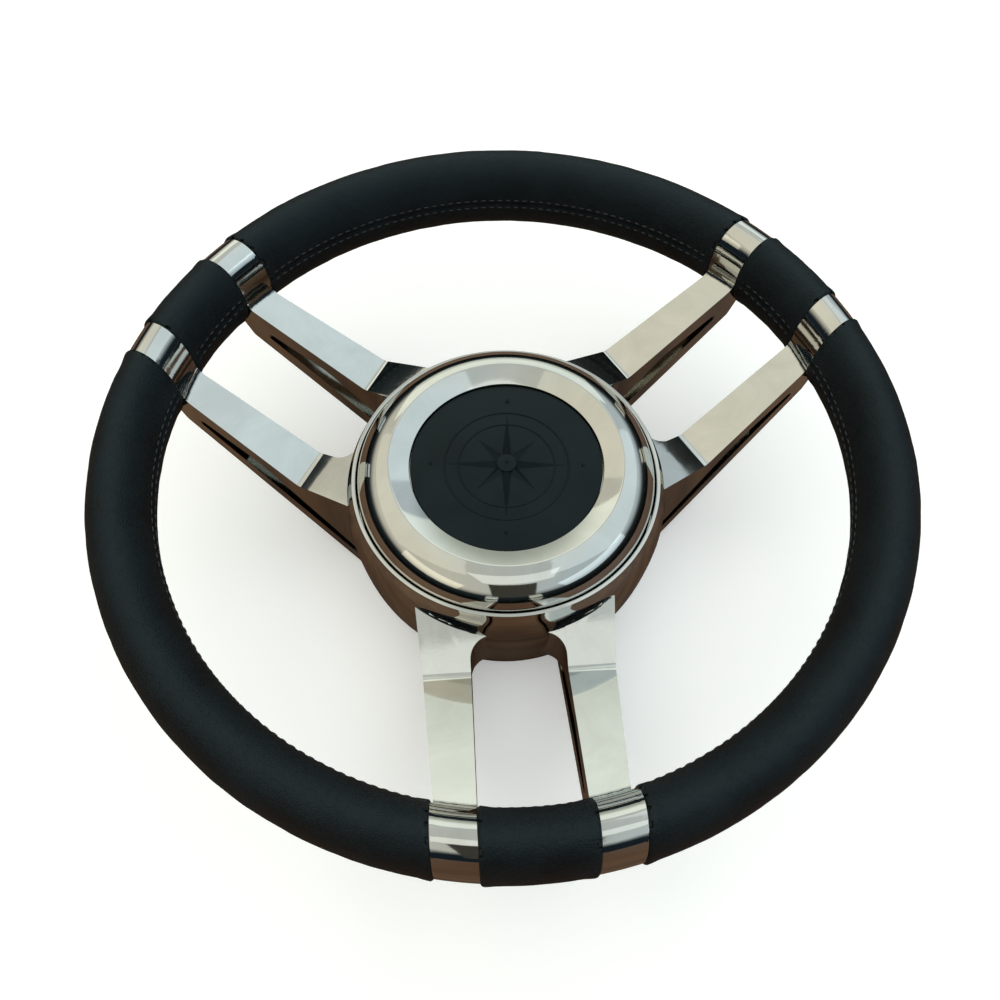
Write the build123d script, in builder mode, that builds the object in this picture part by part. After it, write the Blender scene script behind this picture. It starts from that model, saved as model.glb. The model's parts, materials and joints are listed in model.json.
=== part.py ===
"""Marine steering wheel, 350 mm: a deep-dished stainless wheel with three pairs of
parallel spokes, a leather-wrapped oval rim and a domed snap-in centre cap.

Frame: millimetres, +Z along the helm shaft towards the helmsman, origin on the axis in
the hub's flat back face.  The bottom pair of spokes points along -Y.
"""
import math
import os

from build123d import *

os.makedirs("parts", exist_ok=True)

# ---------------------------------------------------------------- driving dimensions
rim_diameter = 350.0         # over the leather
rim_level = 90.0             # middle of the rim above the hub's back face (the dish)
pair_angles = (-90.0, 30.0, 150.0)   # directions of the three pairs of spokes

grip_width = 25.4            # oval rim section, measured along a radius
grip_height = 40.4           # and along the axis
leather_thickness = 1.4
leather_end_round = 1.2      # rolled end of each leather wrap, beside the collars
rod_diameter = 14.0          # solid ring rod that carries the whole rim
collar_step = 0.5            # the collars stand this much below the leather

spoke_inner_edge = 20.6      # spoke's side nearest its pair's middle line
spoke_end_width = 15.9       # spoke and collar width at the rim
spoke_flare = 0.078          # growth in width for each millimetre towards the hub
flare_start = 144.0          # distance from the axis where the growth begins
spoke_edge_round = 0.7       # along the lower bar
bend_round = 5.0             # soft crease between strip and facet

# Side profile of a spoke: distance from the wheel's axis, height above the back face.
strip_bend = (88.0, 55.0)    # low point of the flat top strip
strip_slope = 0.475          # rise of the strip towards the rim
strip_reach = 156.0          # the profile runs on to here, inside the collar
facet_slope = 0.40           # rise of the short facet between the bend and the hub
collar_blend = 6.0           # concave radius between strip and collar
nose_top = (158.0, 78.0)     # spoke's outer end, under the collar
nose_corner = (151.0, 63.5)
nose_round = 4.0
foot_point = (60.0, 1.4)     # lower edge of the bottom bar, inside the hub wall
slot_apex = (154.0, 75.0)    # where the slot's edges would meet, beyond its round tip
slot_tip_radius = 1.8
slot_knee = (110.0, 57.5)    # where the slot's upper edge turns down to the hub
slot_knee_round = 30.0
slot_hub_height = 6.2        # upright height of the slot at the foot point
lower_bar_height = 9.3       # measured upright, from the lower edge to the slot

# Hub bowl: outside profile from its mouth to its back face, as radius and level.
lip_point = (69.6, 72.1)
shoulder_point = (72.6, 64.5)
belly_point = (74.0, 52.0)
flank_point = (71.8, 26.0)
foot_edge = (66.0, 5.0)
bowl_wall = 2.5
bowl_floor = 5.0
back_face_radius = 62.0
mouth_radius = 67.9          # straight bore that takes the cap
mouth_depth = 12.0
ledge_width = 2.9            # inward step that the cap's skirt lands on
ledge_thickness = 3.0
lip_round = 0.6

# Flanged boss with the standard 3/4 inch helm-shaft taper, screwed into the bowl.
boss_radius = 19.0
boss_height = 34.0
flange_radius = 34.0
flange_thickness = 6.0
shaft_big_diameter = 19.05   # at the back face
shaft_taper = 1.0 / 12.0     # on the diameter
key_width = 4.8
key_depth = 2.4
screw_count = 6
screw_circle = 26.5          # radius of the ring of flange screws
screw_shank = 2.5            # radii of the cap screws' shank, head and hexagon socket
screw_head = 4.5
screw_socket = 2.0
screw_head_height = 3.0
screw_length = 9.5

# Centre cap, profile as radius and level.
cap_edge = (67.4, 71.5)
cap_shoulder = (62.2, 80.0)
cap_crest = (52.2, 84.3)     # ridge between the flank and the sloping inner land
crest_round = 0.8
cap_wall = 2.0
cap_edge_thickness = 0.9
insert_radius = 43.2
insert_level = 79.3          # face of the compass disc
insert_thickness = 2.0
skirt_radius = 67.0
skirt_wall = 2.4
oring_section = 2.0          # diameter of the ring's round section
oring_level = 64.6
oring_clearance = 0.3        # between the O-ring and the bowl's mouth
seat_clearance = 0.05        # under the cap's skirt

# ---------------------------------------------------------------- derived dimensions
rim_radius = rim_diameter / 2 - grip_width / 2
grip_size = (grip_width / 2, grip_height / 2)
core_size = (grip_size[0] - leather_thickness, grip_size[1] - leather_thickness)
collar_size = (grip_size[0] - collar_step, grip_size[1] - collar_step)
spoke_outer_edge = spoke_inner_edge + spoke_end_width
lower_slope = (nose_corner[1] - foot_point[1]) / (nose_corner[0] - foot_point[0])
ledge_level = lip_point[1] - mouth_depth
above = 2 * rim_level        # higher than the whole wheel
collar_mouth = 148.0         # where the strip runs into the collar
bar_middle = 110.0           # halfway along a spoke


def finish(part, label):
    """Name the piece and write its file."""
    part.label = label
    export_step(part, f"parts/{label}.step")


def place(piece, label, angle, flip=False):
    """Copy a piece made along +X to a pair's direction, mirrored to its other side."""
    with BuildPart() as copy:
        with Locations(Location((0, 0, 0), (0, 0, angle))):
            add(mirror(piece.part, about=Plane.XZ, mode=Mode.PRIVATE) if flip else piece.part)
    finish(copy.part, label)


def start_plane(angle):
    """Upright plane through the axis, x outwards at the angle, for a part turn."""
    return Plane.XZ.rotated((0, 0, angle))


def strip_height(distance):
    """Height of the flat top strip at a distance from the axis."""
    return strip_bend[1] + strip_slope * (distance - strip_bend[0])


def lower_height(distance):
    """Height of the spoke's lower edge at a distance from the axis."""
    return foot_point[1] + lower_slope * (distance - foot_point[0])


# ---------------------------------------------------------------- rim
# The rod is one closed ring; everything else on the rim is threaded round it.
with BuildPart() as rim_rod:
    with BuildSketch(Plane.XZ):
        with Locations((rim_radius, rim_level)):
            Circle(rod_diameter / 2)
    revolve(axis=Axis.Z)
finish(rim_rod.part, "rim_rod")


def grip_piece(outer, bore, arc, keep, end_round):
    """Oval rim segment round +X, cut off square to the neighbouring collars.

    keep: True keeps what lies between the spokes of the pair on +X, False keeps what
    lies outside the two pairs that stand 60 degrees either side of +X.
    """
    with BuildPart() as piece:
        with BuildSketch(start_plane(-arc / 2)):
            with Locations((rim_radius, rim_level)):
                Ellipse(*outer)
        revolve(axis=Axis.Z, revolution_arc=arc)
        if keep:
            with BuildSketch():
                with Locations((rim_radius, 0)):
                    Rectangle(rim_diameter / 2, 2 * spoke_inner_edge)
            extrude(amount=above, mode=Mode.INTERSECT)
        else:
            for side in (-60, 60):
                with BuildSketch(Plane.XY.rotated((0, 0, side))):
                    with Locations((rim_radius, 0)):
                        Rectangle(rim_diameter / 2, 2 * spoke_outer_edge)
                extrude(amount=above, mode=Mode.SUBTRACT)
        if end_round:
            fillet(piece.faces().filter_by(GeomType.PLANE).edges(), end_round)
        with BuildSketch(start_plane(-arc / 2)):
            with Locations((rim_radius, rim_level)):
                if bore:
                    Ellipse(*bore)
                else:
                    Circle(rod_diameter / 2)
        revolve(axis=Axis.Z, revolution_arc=arc, mode=Mode.SUBTRACT)
    return piece


# Foam cores and leather wraps: a short one of each inside every pair of spokes, and a
# long one in each gap between the pairs.
short_core = grip_piece(core_size, None, 40, True, 0)
short_wrap = grip_piece(grip_size, core_size, 40, True, leather_end_round)
long_core = grip_piece(core_size, None, 112, False, 0)
long_wrap = grip_piece(grip_size, core_size, 112, False, leather_end_round)
for number, angle in enumerate(pair_angles, start=1):
    place(short_core, f"grip_core_short_{number}", angle)
    place(short_wrap, f"grip_wrap_short_{number}", angle)
    place(long_core, f"grip_core_long_{number}", angle + 60)
    place(long_wrap, f"grip_wrap_long_{number}", angle + 60)

# ---------------------------------------------------------------- spokes
# The bowl's outside, as a solid, trims the inner ends of the spokes.
with BuildPart() as bowl_blank:
    with BuildSketch(Plane.XZ):
        with BuildLine():
            Spline(lip_point, shoulder_point, belly_point, flank_point, foot_edge)
            Line(foot_edge, (back_face_radius, 0))
            Polyline((back_face_radius, 0), (0, 0), (0, lip_point[1]), lip_point)
        make_face()
    revolve(axis=Axis.Z)

# Collar of one spoke: an oval band round the rim rod, its sides square to the spoke.
with BuildPart() as collar:
    with BuildSketch(Plane.XZ):
        with Locations((rim_radius, rim_level)):
            Ellipse(*collar_size)
    revolve(axis=Axis.Z, revolution_arc=30)
    with BuildSketch():
        with Locations((rim_radius, (spoke_inner_edge + spoke_outer_edge) / 2)):
            Rectangle(rim_diameter / 2, spoke_end_width)
    extrude(amount=above, mode=Mode.INTERSECT)

# One spoke along +X, on the +Y side of its pair, cast in one with its collar: the side
# profile sets its heights, the plan outline its width.
with BuildPart() as spoke:
    facet_foot = (foot_point[0], strip_bend[1] + facet_slope * (strip_bend[0] - foot_point[0]))
    with BuildSketch(Plane.XZ) as profile:
        with BuildLine():
            Polyline(foot_point, nose_corner, nose_top, (strip_reach, strip_height(strip_reach)),
                     strip_bend, facet_foot, close=True)
        make_face()
        fillet(profile.vertices().sort_by_distance(nose_corner)[0], nose_round)
        fillet(profile.vertices().sort_by_distance(strip_bend)[0], bend_round)
    extrude(amount=-above)
    with BuildSketch():
        outer_end = (nose_top[0], spoke_outer_edge - spoke_flare * (nose_top[0] - flare_start))
        outer_foot = (foot_point[0], spoke_outer_edge + spoke_flare * (flare_start - foot_point[0]))
        with BuildLine():
            Polyline((foot_point[0], spoke_inner_edge), (nose_top[0], spoke_inner_edge),
                     outer_end, outer_foot, close=True)
        make_face()
    extrude(amount=above, mode=Mode.INTERSECT)
    # Slot through the side: a long wedge with a round tip, open at the hub end.
    with BuildSketch(Plane.XZ) as slot:
        slot_foot = foot_point[1] + lower_bar_height
        with BuildLine():
            Polyline((foot_point[0], slot_foot), slot_apex, slot_knee,
                     (foot_point[0], slot_foot + slot_hub_height), close=True)
        make_face()
        fillet(slot.vertices().sort_by_distance(slot_apex)[0], slot_tip_radius)
        fillet(slot.vertices().sort_by_distance(slot_knee)[0], slot_knee_round)
    extrude(amount=-above, mode=Mode.SUBTRACT)
    low_edges = [spoke.edges().sort_by_distance(Vector(bar_middle, side, lower_height(bar_middle)))[0]
                 for side in (spoke_inner_edge, spoke_outer_edge + spoke_flare * bar_middle / 3)]
    fillet(low_edges, spoke_edge_round)
    add(collar.part)
    junction = Vector(collar_mouth, spoke_inner_edge + spoke_end_width / 2, strip_height(collar_mouth))
    fillet(spoke.edges().sort_by_distance(junction)[0], collar_blend)
    add(bowl_blank.part, mode=Mode.SUBTRACT)
    add(rim_rod.part, mode=Mode.SUBTRACT)

for number, angle in enumerate(pair_angles, start=1):
    place(spoke, f"spoke_{number}_left", angle)
    place(spoke, f"spoke_{number}_right", angle, flip=True)

# ---------------------------------------------------------------- hub
# Bowl: one spun shell with a thick mouth, bored for the cap, and a flat floor.
with BuildPart() as hub_bowl:
    add(bowl_blank.part)
    with BuildSketch(Plane.XZ):
        ledge_inner = mouth_radius - ledge_width
        wall_top = (belly_point[0] - bowl_wall, belly_point[1] - bowl_wall)
        wall_foot = (foot_edge[0] - bowl_wall, foot_edge[1] + bowl_floor)
        with BuildLine():
            ThreePointArc(wall_top, (flank_point[0] - bowl_wall, flank_point[1]), wall_foot)
            Polyline(wall_foot, (back_face_radius - bowl_floor, bowl_floor), (0, bowl_floor),
                     (0, above), (mouth_radius, above), (mouth_radius, ledge_level),
                     (ledge_inner, ledge_level), (ledge_inner, ledge_level - ledge_thickness),
                     wall_top)
        make_face()
    revolve(axis=Axis.Z, mode=Mode.SUBTRACT)
    with BuildSketch():
        Circle(boss_radius)
        with PolarLocations(screw_circle, screw_count):
            Circle(screw_shank)
    extrude(amount=bowl_floor, mode=Mode.SUBTRACT)
    mouth = hub_bowl.edges().filter_by(GeomType.CIRCLE).group_by(Axis.Z)[-1]
    fillet(mouth, lip_round)
finish(hub_bowl.part, "hub_bowl")

# Boss: turned from bar, its flange lying on the bowl's floor, its bore tapered and keyed.
with BuildPart() as hub_boss:
    with BuildSketch():
        Circle(boss_radius)
    extrude(amount=boss_height)
    with BuildSketch(Plane.XY.offset(bowl_floor)):
        Circle(flange_radius)
    extrude(amount=flange_thickness)
    with BuildSketch(Plane.XZ):
        big = shaft_big_diameter / 2
        small = big - boss_height * shaft_taper / 2
        with BuildLine():
            Polyline((0, 0), (big, 0), (small, boss_height), (0, boss_height), close=True)
        make_face()
    revolve(axis=Axis.Z, mode=Mode.SUBTRACT)
    with BuildSketch():
        with Locations((0, shaft_big_diameter / 2)):
            Rectangle(key_width, 2 * key_depth)
    extrude(amount=boss_height, mode=Mode.SUBTRACT)
    with BuildSketch(Plane.XY.offset(bowl_floor)):
        with PolarLocations(screw_circle, screw_count):
            Circle(screw_shank)
    extrude(amount=flange_thickness, mode=Mode.SUBTRACT)
finish(hub_boss.part, "hub_boss")

# Six socket-head screws hold the flange to the bowl's floor.
with BuildPart() as boss_screws:
    head_seat = bowl_floor + flange_thickness
    with BuildSketch(Plane.XY.offset(head_seat - screw_length)):
        with PolarLocations(screw_circle, screw_count):
            Circle(screw_shank)
    extrude(amount=screw_length)
    with BuildSketch(Plane.XY.offset(head_seat)):
        with PolarLocations(screw_circle, screw_count):
            Circle(screw_head)
    extrude(amount=screw_head_height)
    with BuildSketch(Plane.XY.offset(head_seat + screw_head_height / 2)):
        with PolarLocations(screw_circle, screw_count):
            RegularPolygon(screw_socket, 6)
    extrude(amount=screw_head_height / 2, mode=Mode.SUBTRACT)
finish(boss_screws.part, "boss_screws")

# ---------------------------------------------------------------- centre cap
# Domed shell with a seat for the compass disc and a skirt that drops into the mouth.
with BuildPart() as cap_dome:
    with BuildSketch(Plane.XZ) as dome:
        seat = insert_level - insert_thickness
        skirt_foot = ledge_level + seat_clearance
        skirt_inside = skirt_radius - skirt_wall
        under = cap_edge[1] - cap_edge_thickness
        crest_under = (cap_crest[0], cap_crest[1] - cap_wall)
        with BuildLine():
            ThreePointArc(cap_edge, cap_shoulder, cap_crest)
            Polyline(cap_crest, (insert_radius, insert_level + 0.2), (insert_radius, seat),
                     (0, seat), (0, seat - cap_wall), (insert_radius + 1, seat - cap_wall),
                     crest_under)
            ThreePointArc(crest_under, (cap_shoulder[0] - 2, cap_shoulder[1] - cap_wall),
                          (skirt_inside, under - 1))
            Polyline((skirt_inside, under - 1), (skirt_inside, skirt_foot),
                     (skirt_radius, skirt_foot), (skirt_radius, under),
                     (cap_edge[0], under), cap_edge)
        make_face()
        fillet(dome.vertices().sort_by_distance(cap_crest)[0], crest_round)
    revolve(axis=Axis.Z)
    with BuildSketch(Plane.XZ):
        with Locations((mouth_radius - oring_clearance - oring_section / 2, oring_level)):
            Rectangle(oring_section, oring_section)
    revolve(axis=Axis.Z, mode=Mode.SUBTRACT)
finish(cap_dome.part, "cap_dome")

# Compass disc, let into the dome.
with BuildPart() as cap_insert:
    with BuildSketch(Plane.XY.offset(insert_level - insert_thickness)):
        Circle(insert_radius)
    extrude(amount=insert_thickness)
finish(cap_insert.part, "cap_insert")

# O-ring in the skirt's groove, which grips the mouth when the cap is pressed home.
with BuildPart() as cap_oring:
    with BuildSketch(Plane.XZ):
        with Locations((mouth_radius - oring_clearance - oring_section / 2, oring_level)):
            Circle(oring_section / 2)
    revolve(axis=Axis.Z)
finish(cap_oring.part, "cap_oring")
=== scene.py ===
# %% [markdown]
# # A boat's steering wheel
# This lesson dresses a marine steering wheel that was already drawn in CAD: a deep-dished
# hub of polished stainless steel, three pairs of cast spokes, a leather-wrapped oval rim
# and a domed centre cap with a rubber compass disc. The CAD gives every place and size;
# here we model what CAD leaves out, such as rolled leather ends, stitches, rounded metal
# edges and the raised compass rose, and we mix the finishes.

# %% Load the frame
import bpy
import json
import math
from mathutils import Matrix, Vector

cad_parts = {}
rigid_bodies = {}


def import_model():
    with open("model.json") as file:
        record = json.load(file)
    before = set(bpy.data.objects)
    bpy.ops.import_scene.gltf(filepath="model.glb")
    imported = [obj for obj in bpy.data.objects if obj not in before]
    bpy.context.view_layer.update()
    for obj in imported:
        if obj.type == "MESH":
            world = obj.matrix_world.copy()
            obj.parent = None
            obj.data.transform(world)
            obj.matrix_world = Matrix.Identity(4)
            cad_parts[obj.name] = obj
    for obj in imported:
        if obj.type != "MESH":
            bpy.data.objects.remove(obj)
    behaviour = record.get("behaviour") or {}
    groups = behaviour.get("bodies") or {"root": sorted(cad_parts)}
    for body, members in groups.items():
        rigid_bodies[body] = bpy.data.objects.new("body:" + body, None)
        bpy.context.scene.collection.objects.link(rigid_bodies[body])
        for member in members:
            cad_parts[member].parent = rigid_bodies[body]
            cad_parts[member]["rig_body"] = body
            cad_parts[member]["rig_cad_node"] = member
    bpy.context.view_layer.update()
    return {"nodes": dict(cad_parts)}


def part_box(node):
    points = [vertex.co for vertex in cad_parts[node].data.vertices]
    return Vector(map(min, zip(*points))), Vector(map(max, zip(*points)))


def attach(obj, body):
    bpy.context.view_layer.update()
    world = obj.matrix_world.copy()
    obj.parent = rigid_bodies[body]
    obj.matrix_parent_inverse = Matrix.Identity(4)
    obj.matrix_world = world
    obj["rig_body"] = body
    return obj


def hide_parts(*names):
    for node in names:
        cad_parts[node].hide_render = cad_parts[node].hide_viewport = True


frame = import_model()
nodes = frame["nodes"]

# %% [markdown]
# Everything is written in millimetres, as on a workshop drawing, and turned to metres by
# one factor. The rim's centre line comes from the CAD: the ring rod runs along it.

# %% Sizes that several pieces share
MM = 0.001
rod_low, rod_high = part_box("rim_rod")
RIM_LEVEL = (rod_low.z + rod_high.z) / 2
ROD_RADIUS = (rod_high.z - rod_low.z) / 2
RIM_RADIUS = rod_high.x - ROD_RADIUS
wrap_low, wrap_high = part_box("grip_wrap_long_2")
GRIP_HALF_HEIGHT = wrap_high.z - RIM_LEVEL
GRIP_HALF_WIDTH = wrap_high.y - RIM_RADIUS
PAIR_ANGLES = (-90.0, 30.0, 150.0)
SPOKE_INNER_EDGE = 20.6 * MM
SPOKE_OUTER_EDGE = 36.5 * MM
print("rim radius", round(RIM_RADIUS / MM, 1), "level", round(RIM_LEVEL / MM, 1),
      "grip", round(GRIP_HALF_WIDTH / MM, 1), "x", round(GRIP_HALF_HEIGHT / MM, 1))

# %% [markdown]
# An operator works on whatever is selected, so two small helpers come first: one lets go
# of everything, the other picks one piece and opens it in edit mode with nothing selected.

# %% Selection helpers
MERGE_DISTANCE = 0.004 * MM   # points closer than this are one point


def let_go():
    """Leave edit mode and deselect every object."""
    if bpy.context.object and bpy.context.object.mode != "OBJECT":
        bpy.ops.object.mode_set(mode="OBJECT")
    bpy.ops.object.select_all(action="DESELECT")


def pick(*pieces):
    """Select these pieces; the first one is the active one."""
    let_go()
    for piece in pieces:
        piece.select_set(True)
    bpy.context.view_layer.objects.active = pieces[0]


def choose(piece, wanted, kind="VERT"):
    """Select, in edit mode, the vertices or edges for which wanted(item) holds."""
    pick(piece)
    bpy.ops.object.mode_set(mode="EDIT")
    bpy.ops.mesh.select_mode(type=kind)
    bpy.ops.mesh.select_all(action="DESELECT")
    bpy.ops.object.mode_set(mode="OBJECT")
    parts = piece.data.vertices if kind == "VERT" else piece.data.edges
    count = 0
    for item in parts:
        item.select = bool(wanted(item))
        count += item.select
    bpy.ops.object.mode_set(mode="EDIT")
    return count


def freeze(piece):
    """Put the piece's place, turn and size into its mesh."""
    pick(piece)
    bpy.ops.object.transform_apply(location=True, rotation=True, scale=True)
    return piece


def tidy_shell(piece):
    """Merge doubled points, then turn every face outwards."""
    choose(piece, lambda item: True)
    bpy.ops.mesh.remove_doubles(threshold=MERGE_DISTANCE)
    bpy.ops.mesh.normals_make_consistent(inside=False)
    let_go()


def apply_modifiers(piece):
    pick(piece)
    for modifier in list(piece.modifiers):
        bpy.ops.object.modifier_apply(modifier=modifier.name)


def settle(piece, body, material, stands_for=()):
    """Give a finished piece its finish and its body, and hide the CAD nodes it stands for."""
    piece.data.materials.clear()
    piece.data.materials.append(material)
    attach(piece, body)
    if stands_for:
        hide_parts(*stands_for)
    print(piece.name, "faces:", len(piece.data.polygons))

# %% [markdown]
# The camera looks down at the wheel the way a person standing at a table does: about two
# thirds of the way up, from just outside the rim, turned a little to one side.

# %% Camera
CAMERA_FROM_RIM = Vector((6.55, -207.36, 330.11)) * MM   # from the middle of the rim
CAMERA_HEADING = math.radians(-6.49)
CAMERA_DROP = math.radians(61.87)                        # how far below level it looks
CAMERA_ROLL = math.radians(2.63)
SENSOR_WIDTH = 36.0                                      # mm, a full-frame camera
FOCAL_LENGTH = 32.24                                     # mm
FRAME_SHIFT = (-0.0191, 0.0150)                          # in frame widths
heading = Matrix.Rotation(CAMERA_HEADING, 4, "Z")
bpy.ops.object.camera_add()
camera = bpy.context.object
camera.name = "camera"
camera.matrix_world = (
    Matrix.Translation(heading @ CAMERA_FROM_RIM + Vector((0, 0, RIM_LEVEL)))
    @ heading
    @ Matrix.Rotation(math.pi / 2 - CAMERA_DROP, 4, "X")
    @ Matrix.Rotation(CAMERA_ROLL, 4, "Z"))
camera.data.sensor_width = SENSOR_WIDTH
camera.data.lens = FOCAL_LENGTH
camera.data.shift_x, camera.data.shift_y = FRAME_SHIFT
camera.data.clip_start = 0.01
camera.data.dof.use_dof = False
bpy.context.scene.camera = camera
print("camera at", [round(v, 3) for v in camera.matrix_world.translation])

# %% [markdown]
# Colours are written as the hex values a paint picker shows. A shader wants linear light,
# so one function turns them. A second small function adds one node, sets its values and
# links its inputs; every finish below is built from it.

# %% Colour and node helpers
def linear(hex_colour):
    """sRGB hex to linear red, green, blue and alpha."""
    channels = [int(hex_colour[i:i + 2], 16) / 255 for i in (1, 3, 5)]
    return tuple(c / 12.92 if c <= 0.04045 else ((c + 0.055) / 1.055) ** 2.4
                 for c in channels) + (1.0,)


def add_node(tree, kind, values=None, links=None, **settings):
    """Add a node: values go into its sockets, links join other nodes' outputs to it."""
    node = tree.nodes.new(kind)
    for name, value in settings.items():
        setattr(node, name, value)
    for socket, value in (values or {}).items():
        node.inputs[socket].default_value = value
    for socket, source in (links or {}).items():
        tree.links.new(source, node.inputs[socket])
    return node


def start_material(name, colour, roughness, metallic=0.0):
    """A new material: returns it, its node tree, its shader and object coordinates."""
    material = bpy.data.materials.new(name)
    material.use_nodes = True
    tree = material.node_tree
    shader = tree.nodes["Principled BSDF"]
    shader.inputs["Base Color"].default_value = linear(colour)
    shader.inputs["Roughness"].default_value = roughness
    shader.inputs["Metallic"].default_value = metallic
    place = add_node(tree, "ShaderNodeTexCoord").outputs["Object"]
    return material, tree, shader, place


def per_metre(size_mm):
    """Texture scale that makes one cell of a pattern this many millimetres wide."""
    return 1.0 / (size_mm * MM)


def vary(tree, source, low, high, start=0.3, end=0.7):
    """Map a pattern's grey to a range of values."""
    return add_node(tree, "ShaderNodeMapRange", {"From Min": start, "From Max": end,
                    "To Min": low, "To Max": high}, {"Value": source}).outputs["Result"]


def tint(tree, source, dark, light, start=0.3, end=0.7):
    """Map a pattern's grey to a range of colours."""
    ramp = add_node(tree, "ShaderNodeValToRGB", links={"Fac": source})
    ramp.color_ramp.elements[0].position = start
    ramp.color_ramp.elements[0].color = linear(dark)
    ramp.color_ramp.elements[1].position = end
    ramp.color_ramp.elements[1].color = linear(light)
    return ramp.outputs["Color"]


def emboss(tree, shader, heights):
    """Stack bumps on the shader: heights is a list of (pattern, depth in mm)."""
    normal = None
    for pattern, depth in heights:
        bump = add_node(tree, "ShaderNodeBump", {"Distance": depth * MM, "Strength": 1.0},
                        {"Height": pattern})
        if normal:
            tree.links.new(normal, bump.inputs["Normal"])
        normal = bump.outputs["Normal"]
    tree.links.new(normal, shader.inputs["Normal"])

# %% [markdown]
# Cast 316 stainless, ground and buffed to a mirror. Buffing leaves three things for the
# eye: a faint slow waviness, hair-fine wheel marks that only roughen the shine, and
# finger marks where a hand has been. The metal itself is one colour.

# %% Mirror-polished stainless
mirror_steel, tree, shader, place = start_material(
    "mirror_polished_stainless", "#D2D2CD", 0.06, 1.0)
smears = add_node(tree, "ShaderNodeTexNoise", {"Scale": per_metre(28), "Detail": 4.0,
                  "Roughness": 0.6, "Distortion": 0.8}, {"Vector": place}).outputs["Fac"]
stretch = add_node(tree, "ShaderNodeMapping", {"Scale": (1.0, 1.0, 14.0)}, {"Vector": place})
wheel_marks = add_node(tree, "ShaderNodeTexNoise", {"Scale": per_metre(3), "Detail": 6.0,
                       "Roughness": 0.7}, {"Vector": stretch.outputs["Vector"]}).outputs["Fac"]
both = add_node(tree, "ShaderNodeMath", links={0: smears, 1: wheel_marks}, operation="MULTIPLY")
tree.links.new(vary(tree, both.outputs[0], 0.045, 0.15, 0.2, 0.5), shader.inputs["Roughness"])
tree.links.new(tint(tree, smears, "#CBCBC6", "#D8D8D4"), shader.inputs["Base Color"])
waviness = add_node(tree, "ShaderNodeTexNoise", {"Scale": per_metre(18), "Detail": 1.0},
                    {"Vector": place}).outputs["Fac"]
emboss(tree, shader, [(waviness, 0.035), (wheel_marks, 0.0012)])
print("made", mirror_steel.name)

# %% [markdown]
# The hidden metal is plainer. The boss is turned on a lathe, so its tool marks run round
# the shaft; the ring rod is drawn bar with fine lengthwise streaks; the cap screws are
# rolled and tumbled, with a dull, even grey.

# %% Turned, drawn and tumbled stainless
WAVE_STEP = 2 * math.pi / 20  # a wave texture at scale 1 repeats after this many metres
TOOL_MARK = 0.6               # mm; the real feed is near 0.1 mm, drawn coarser to show
THREAD_TWIST = 0.5            # mm from one diagonal rib of the thread to the next
turned_steel, tree, shader, place = start_material("turned_stainless", "#B9BAB8", 0.28, 1.0)
rings = add_node(tree, "ShaderNodeTexWave", {"Scale": WAVE_STEP * per_metre(TOOL_MARK),
                 "Distortion": 0.4}, {"Vector": place}, wave_type="RINGS",
                 rings_direction="Z").outputs["Fac"]
stain = add_node(tree, "ShaderNodeTexNoise", {"Scale": per_metre(9), "Detail": 5.0},
                 {"Vector": place}).outputs["Fac"]
tree.links.new(vary(tree, stain, 0.22, 0.42), shader.inputs["Roughness"])
tree.links.new(tint(tree, stain, "#A3A5A4", "#C2C2BE"), shader.inputs["Base Color"])
emboss(tree, shader, [(rings, 0.02)])

drawn_steel, tree, shader, place = start_material("drawn_stainless_bar", "#B2B3B1", 0.3, 1.0)
streaks = add_node(tree, "ShaderNodeTexNoise", {"Scale": per_metre(1.2), "Detail": 6.0,
                   "Roughness": 0.7}, {"Vector": place}).outputs["Fac"]
tree.links.new(vary(tree, streaks, 0.24, 0.45), shader.inputs["Roughness"])
tree.links.new(tint(tree, streaks, "#9C9E9D", "#BDBDBA"), shader.inputs["Base Color"])
emboss(tree, shader, [(streaks, 0.01)])

screw_steel, tree, shader, place = start_material("tumbled_screw_steel", "#9EA0A0", 0.38, 1.0)
tumble = add_node(tree, "ShaderNodeTexNoise", {"Scale": per_metre(0.8), "Detail": 4.0},
                  {"Vector": place}).outputs["Fac"]
tree.links.new(vary(tree, tumble, 0.3, 0.5), shader.inputs["Roughness"])
tree.links.new(tint(tree, tumble, "#868888", "#A9AAA9"), shader.inputs["Base Color"])
emboss(tree, shader, [(tumble, 0.01)])
print("made", turned_steel.name, drawn_steel.name, screw_steel.name)

# %% [markdown]
# Black full-grain leather, drum-dyed and lightly finished. Its pebbles are under a
# millimetre, crossed by longer creases where it was pulled round the rim, and hands have
# polished it in patches, so its shine drifts slowly from place to place. The highlight has
# a slightly cool tint.

# %% Fine-grained black leather
leather, tree, shader, place = start_material("black_grained_leather", "#101517", 0.5)
drift = add_node(tree, "ShaderNodeTexNoise", {"Scale": per_metre(4), "Detail": 3.0},
                 {"Vector": place})
warped = add_node(tree, "ShaderNodeVectorMath", {"Scale": 1.2 * MM},
                  {0: drift.outputs["Color"]}, operation="SCALE")
bent = add_node(tree, "ShaderNodeVectorMath", links={0: place, 1: warped.outputs[0]},
                operation="ADD").outputs[0]
pebbles = add_node(tree, "ShaderNodeTexVoronoi", {"Scale": per_metre(0.95)}, {"Vector": bent},
                   feature="DISTANCE_TO_EDGE").outputs["Distance"]
pebble_tops = vary(tree, pebbles, 0.0, 1.0, 0.0, 0.28)
creases = add_node(tree, "ShaderNodeTexVoronoi", {"Scale": per_metre(5.5)}, {"Vector": bent},
                   feature="DISTANCE_TO_EDGE").outputs["Distance"]
crease_lines = vary(tree, creases, 0.0, 1.0, 0.0, 0.06)
handled = add_node(tree, "ShaderNodeTexNoise", {"Scale": per_metre(22), "Detail": 5.0,
                   "Roughness": 0.6}, {"Vector": place}).outputs["Fac"]
tree.links.new(vary(tree, handled, 0.42, 0.58), shader.inputs["Roughness"])
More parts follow.
